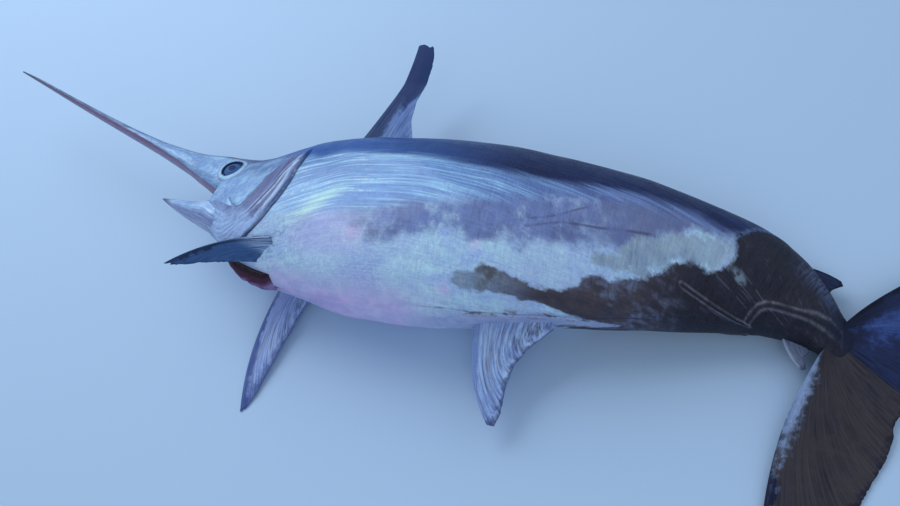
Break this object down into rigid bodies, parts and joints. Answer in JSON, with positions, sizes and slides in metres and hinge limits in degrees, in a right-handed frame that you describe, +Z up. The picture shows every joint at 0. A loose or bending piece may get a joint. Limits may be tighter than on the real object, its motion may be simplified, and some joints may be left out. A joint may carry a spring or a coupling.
{
  "type": "swordfish",
  "caption": "Life-size swordfish lying on its right flank, with a long flat bill, open lower jaw, large eye, gill covers, sickle-shaped fins, tail keels and a crescent tail",
  "frame": {"origin": "on the floor, under the middle of the fish's bounding box", "axes": "+X runs from the bill to the tail, +Y from the belly to the back, +Z up off the floor on which the fish's right flank lies"},
  "size_m": [2.8802, 1.2278, 0.3097],
  "materials": {
    "skin": "wet silver-blue skin, dark back, pale rose belly",
    "bill": "wet slate and mauve skin over bone",
    "eye": "clear wet eye, blue-black",
    "gill": "wet dark red filaments",
    "dark_fin": "wet slate fin membrane with raised rays",
    "pale_fin": "wet pale blue-grey fin membrane with raised rays",
    "tail_skin": "wet brown-violet skin, scuffed"
  },
  "bodies": {
    "root": {"bill": "bill", "lower_jaw": "skin", "head": "skin", "eye_left": "eye", "eye_right": "eye", "shoulder": "skin", "belly": "skin", "flank": "skin", "tail_stalk": "tail_skin", "gill_cover_left": "skin", "gill_cover_right": "skin", "gills": "gill", "dorsal_fin": "dark_fin", "anal_fin": "pale_fin", "second_dorsal_fin": "dark_fin", "second_anal_fin": "pale_fin", "pectoral_fin_left": "dark_fin", "pectoral_fin_right": "pale_fin", "keel_left": "tail_skin", "keel_right": "tail_skin", "tail_lobe_upper": "dark_fin", "tail_lobe_lower": "dark_fin"}
  },
  "joints": []
}
